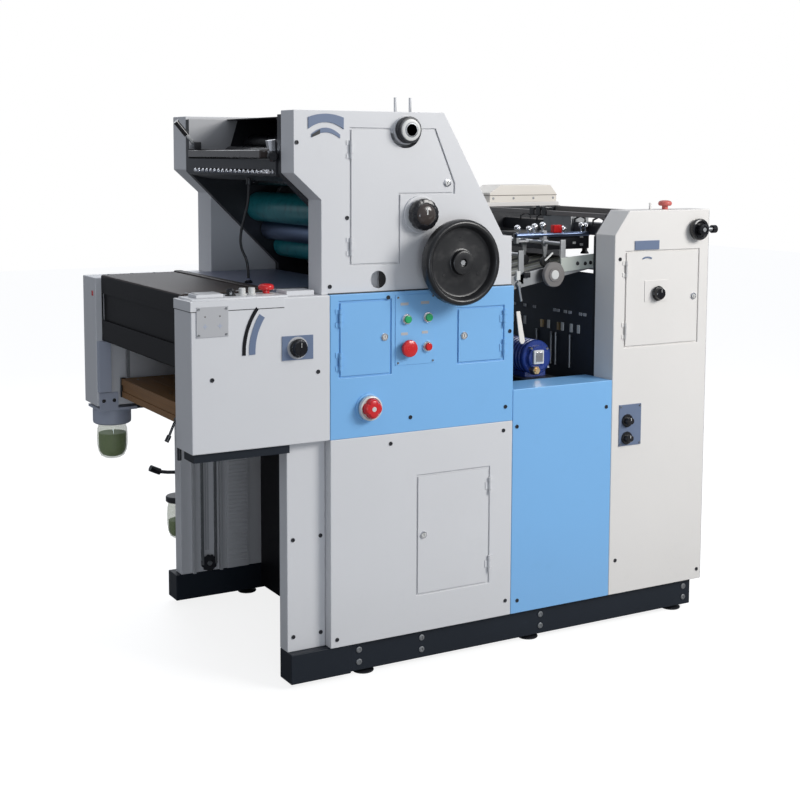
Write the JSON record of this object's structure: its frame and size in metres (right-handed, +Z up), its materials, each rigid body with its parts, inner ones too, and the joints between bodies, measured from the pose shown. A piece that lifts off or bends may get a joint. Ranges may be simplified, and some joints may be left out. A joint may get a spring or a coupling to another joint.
{
  "type": "offset printing press",
  "caption": "Small sheet-fed offset printing press on a rail base: covered side frames, inking tower with handwheel, feeder column and delivery with a lowering pile board.",
  "frame": {"origin": "middle of the bounding box at floor level", "axes": "+X towards the feeder end, -Y towards the operator, +Z up"},
  "size_m": [1.842, 1.1139, 1.662],
  "materials": {
    "painted_white": "satin light grey-white paint",
    "painted_warm": "satin warm white paint",
    "painted_blue": "satin sky blue paint",
    "base_slate": "dark slate paint",
    "dark_iron": "black painted casting",
    "dark_sheet": "brown-black sheet metal",
    "bright_steel": "turned steel",
    "chrome_steel": "plated steel",
    "ink_rubber": "teal green rubber",
    "steel_blue": "blued steel",
    "black_plastic": "glossy black plastic",
    "red_plastic": "red plastic",
    "grey_plate": "slate grey plate",
    "board_wood": "orange-brown laminated wood",
    "jar_glass": "greenish yellow glass",
    "cable_rubber": "black cable sheath",
    "pump_blue": "blue enamel",
    "beige_paint": "beige paint"
  },
  "bodies": {
    "press": {"base_rails": "base_slate", "base_cross_beams": "base_slate", "levelling_feet": "dark_iron", "side_frames": "dark_iron", "tower_cover_front": "painted_white", "control_cover_front": "painted_blue", "lower_cover_front": "painted_white", "step_cover_front": "painted_blue", "feeder_cover_front": "painted_warm", "drive_covers_white": "painted_white", "drive_covers_blue": "painted_blue", "tower_guard": "dark_sheet", "tower_deck": "dark_sheet", "delivery_posts": "painted_white", "delivery_boxes": "painted_white", "delivery_hood": "dark_sheet", "bay_back_plate": "dark_sheet", "louvred_panel": "painted_white", "hoist_chains": "bright_steel", "roller_train": "dark_iron", "ink_fountain": "dark_iron", "ink_keys": "bright_steel", "fountain_cable": "cable_rubber", "door_hinge_pins": "painted_white", "panel_plates": "grey_plate", "push_buttons": "black_plastic", "fluid_jars": "jar_glass", "jar_brackets": "grey_plate", "register_board": "bright_steel", "register_frame": "bright_steel", "hold_down_wheels": "chrome_steel", "feeder_front_plate": "dark_sheet", "feeder_cross_bars": "dark_iron", "feed_pile_board": "board_wood", "suction_head": "bright_steel", "suction_pump": "pump_blue", "feeder_hood": "beige_paint"},
    "tower_door": {"tower_door": "painted_white"},
    "control_door_left": {"control_door_left": "painted_blue"},
    "control_door_right": {"control_door_right": "painted_blue"},
    "lower_hatch": {"lower_hatch": "painted_white"},
    "feeder_door": {"feeder_door": "painted_warm"},
    "blanket": {"handwheel": "black_plastic", "blanket_cylinder": "steel_blue"},
    "plate": {"plate_cylinder": "bright_steel"},
    "impression": {"impression_cylinder": "bright_steel"},
    "upper_roller": {"ink_roller_upper": "ink_rubber"},
    "steel_roller": {"ink_roller_steel": "steel_blue"},
    "lower_roller": {"ink_roller_lower": "ink_rubber"},
    "pile": {"pile_board": "board_wood", "pile_carrier": "dark_iron"},
    "fountain_lever": {"fountain_lever": "black_plastic"},
    "water_knob": {"water_knob": "black_plastic"},
    "ring_knob": {"ring_knob": "bright_steel"},
    "delivery_knob": {"delivery_knob": "black_plastic"},
    "pressure_knob": {"pressure_knob": "red_plastic"},
    "feeder_knob": {"feeder_knob": "black_plastic"},
    "feeder_wheel": {"feeder_wheel": "black_plastic"},
    "stop_delivery": {"emergency_stop_delivery": "red_plastic"},
    "stop_feeder": {"emergency_stop_feeder": "red_plastic"}
  },
  "joints": [
    {"name": "tower_door_hinge", "type": "hinge", "parent": "press", "child": "tower_door", "pos_m": [-0.4395, -0.457, 1.38], "axis": [0, 0, -1], "range_deg": [0, 110]},
    {"name": "control_door_left_hinge", "type": "hinge", "parent": "press", "child": "control_door_left", "pos_m": [-0.4815, -0.472, 0.986], "axis": [0, 0, -1], "range_deg": [0, 110]},
    {"name": "control_door_right_hinge", "type": "hinge", "parent": "press", "child": "control_door_right", "pos_m": [0.0675, -0.472, 0.973], "axis": [0, 0, 1], "range_deg": [0, 110]},
    {"name": "lower_hatch_hinge", "type": "hinge", "parent": "press", "child": "lower_hatch", "pos_m": [0.0215, -0.472, 0.395], "axis": [0, 0, 1], "range_deg": [0, 110]},
    {"name": "feeder_door_hinge", "type": "hinge", "parent": "press", "child": "feeder_door", "pos_m": [0.5275, -0.472, 1.05], "axis": [0, 0, -1], "range_deg": [0, 110]},
    {"name": "handwheel_spin", "type": "hinge", "parent": "press", "child": "blanket", "pos_m": [-0.128, -0.017, 1.195], "axis": [0, 1, 0], "continuous": true},
    {"name": "plate_spin", "type": "hinge", "parent": "press", "child": "plate", "pos_m": [-0.23354, -0.017, 1.33659], "axis": [0, 1, 0], "continuous": true},
    {"name": "impression_spin", "type": "hinge", "parent": "press", "child": "impression", "pos_m": [-0.03079, -0.017, 1.04757], "axis": [0, 1, 0], "continuous": true},
    {"name": "upper_roller_spin", "type": "hinge", "parent": "press", "child": "upper_roller", "pos_m": [-0.37093, -0.017, 1.33108], "axis": [0, 1, 0], "continuous": true},
    {"name": "steel_roller_spin", "type": "hinge", "parent": "press", "child": "steel_roller", "pos_m": [-0.33296, -0.017, 1.25559], "axis": [0, 1, 0], "continuous": true},
    {"name": "lower_roller_spin", "type": "hinge", "parent": "press", "child": "lower_roller", "pos_m": [-0.28436, -0.017, 1.20045], "axis": [0, 1, 0], "continuous": true},
    {"name": "pile_hoist", "type": "slide", "parent": "press", "child": "pile", "axis": [0, 0, 1], "range_m": [-0.5, 0]},
    {"name": "fountain_lever_turn", "type": "hinge", "parent": "press", "child": "fountain_lever", "pos_m": [-0.599, 0.309, 1.527], "axis": [0, 1, 0], "range_deg": [-35, 60]},
    {"name": "water_knob_turn", "type": "hinge", "parent": "press", "child": "water_knob", "pos_m": [-0.216, -0.467, 1.331], "axis": [0, 1, 0], "range_deg": [-150, 150]},
    {"name": "ring_knob_turn", "type": "hinge", "parent": "press", "child": "ring_knob", "pos_m": [-0.263, -0.467, 1.57], "axis": [0, 1, 0], "range_deg": [-150, 150]},
    {"name": "delivery_knob_turn", "type": "hinge", "parent": "press", "child": "delivery_knob", "pos_m": [-0.613, -0.467, 0.973], "axis": [0, 1, 0], "range_deg": [-150, 150]},
    {"name": "pressure_knob_turn", "type": "hinge", "parent": "press", "child": "pressure_knob", "pos_m": [-0.392, -0.467, 0.788], "axis": [0, 1, 0], "range_deg": [-150, 150]},
    {"name": "feeder_knob_turn", "type": "hinge", "parent": "feeder_door", "child": "feeder_knob", "pos_m": [0.652, -0.467, 1.065], "axis": [0, 1, 0], "range_deg": [-150, 150]},
    {"name": "feeder_wheel_turn", "type": "hinge", "parent": "press", "child": "feeder_wheel", "pos_m": [0.811, -0.467, 1.265], "axis": [0, 1, 0], "continuous": true},
    {"name": "stop_delivery_push", "type": "slide", "parent": "press", "child": "stop_delivery", "axis": [0, 0, 1], "range_m": [-0.005, 0], "stiffness_N_per_m": 400},
    {"name": "stop_feeder_push", "type": "slide", "parent": "press", "child": "stop_feeder", "axis": [0, 0, 1], "range_m": [-0.005, 0], "stiffness_N_per_m": 400}
  ],
  "couplings": [
    {"joint": "plate_spin", "follows": "handwheel_spin", "ratio": -1},
    {"joint": "impression_spin", "follows": "handwheel_spin", "ratio": -1},
    {"joint": "upper_roller_spin", "follows": "handwheel_spin", "ratio": 1.7959},
    {"joint": "steel_roller_spin", "follows": "handwheel_spin", "ratio": -2.5143},
    {"joint": "lower_roller_spin", "follows": "handwheel_spin", "ratio": 2.3158}
  ]
}
